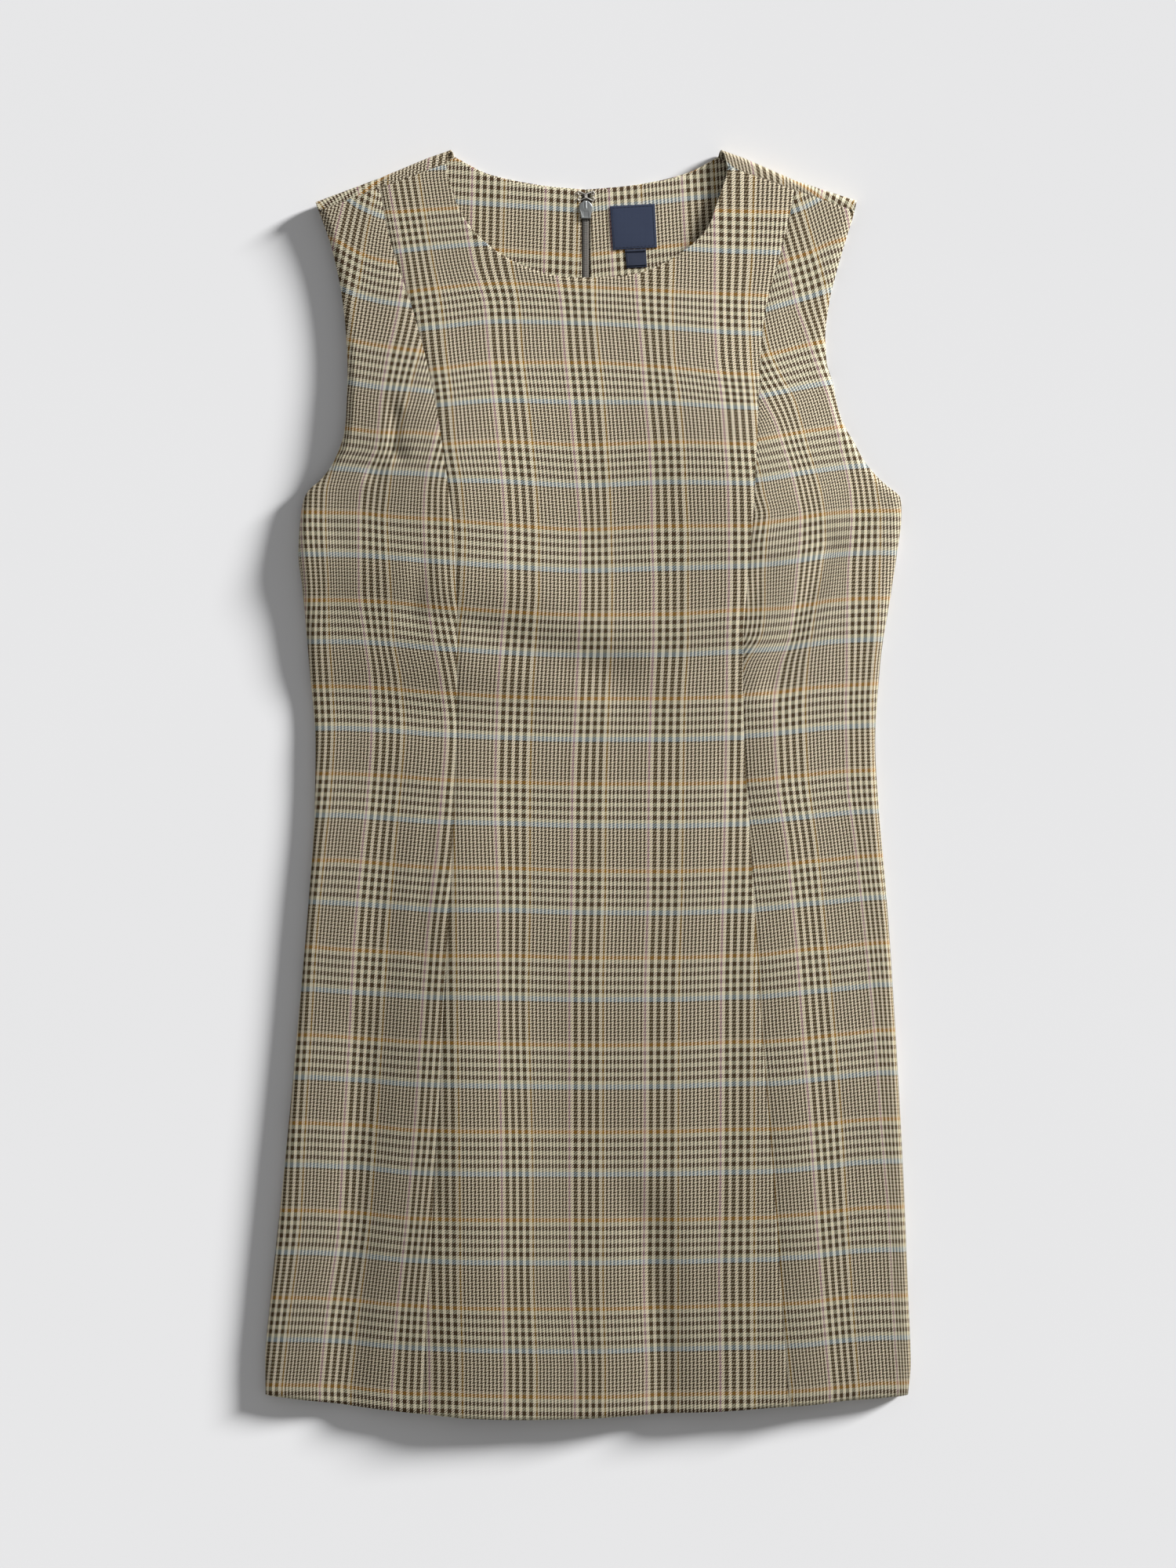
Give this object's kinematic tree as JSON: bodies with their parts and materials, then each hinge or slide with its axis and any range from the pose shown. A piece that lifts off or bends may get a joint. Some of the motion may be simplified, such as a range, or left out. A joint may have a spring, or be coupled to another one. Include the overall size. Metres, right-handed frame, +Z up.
{
  "type": "shift dress",
  "caption": "Sleeveless A-line shift dress in checked wool with princess seams, forward shoulder seams and a centre-back zip, laid flat face up.",
  "frame": {"origin": "middle of the footprint, on the surface that the dress lies on", "axes": "+Y from the hem to the neck, +X to the right of someone who looks down at the front, +Z up out of the front"},
  "size_m": [0.47, 0.923, 0.0205],
  "materials": {
    "checked_wool": "wool twill in a glen check of cream, brown and olive with blue, orange, lilac and ochre lines",
    "label_cloth": "plain navy woven label",
    "tab_cloth": "plain navy woven tab",
    "zip_coil": "grey-brown nylon coil",
    "zip_metal": "pewter grey lacquered zinc",
    "hook_wire": "bright drawn wire"
  },
  "bodies": {
    "root": {"front_centre": "checked_wool", "front_side_left": "checked_wool", "front_side_right": "checked_wool", "back_left": "checked_wool", "back_right": "checked_wool", "back_neck_facing_left": "checked_wool", "back_neck_facing_right": "checked_wool", "label": "label_cloth", "size_tab": "tab_cloth", "zip_chain": "zip_coil", "zip_slider": "zip_metal", "hook": "hook_wire", "eye": "hook_wire"}
  },
  "joints": []
}
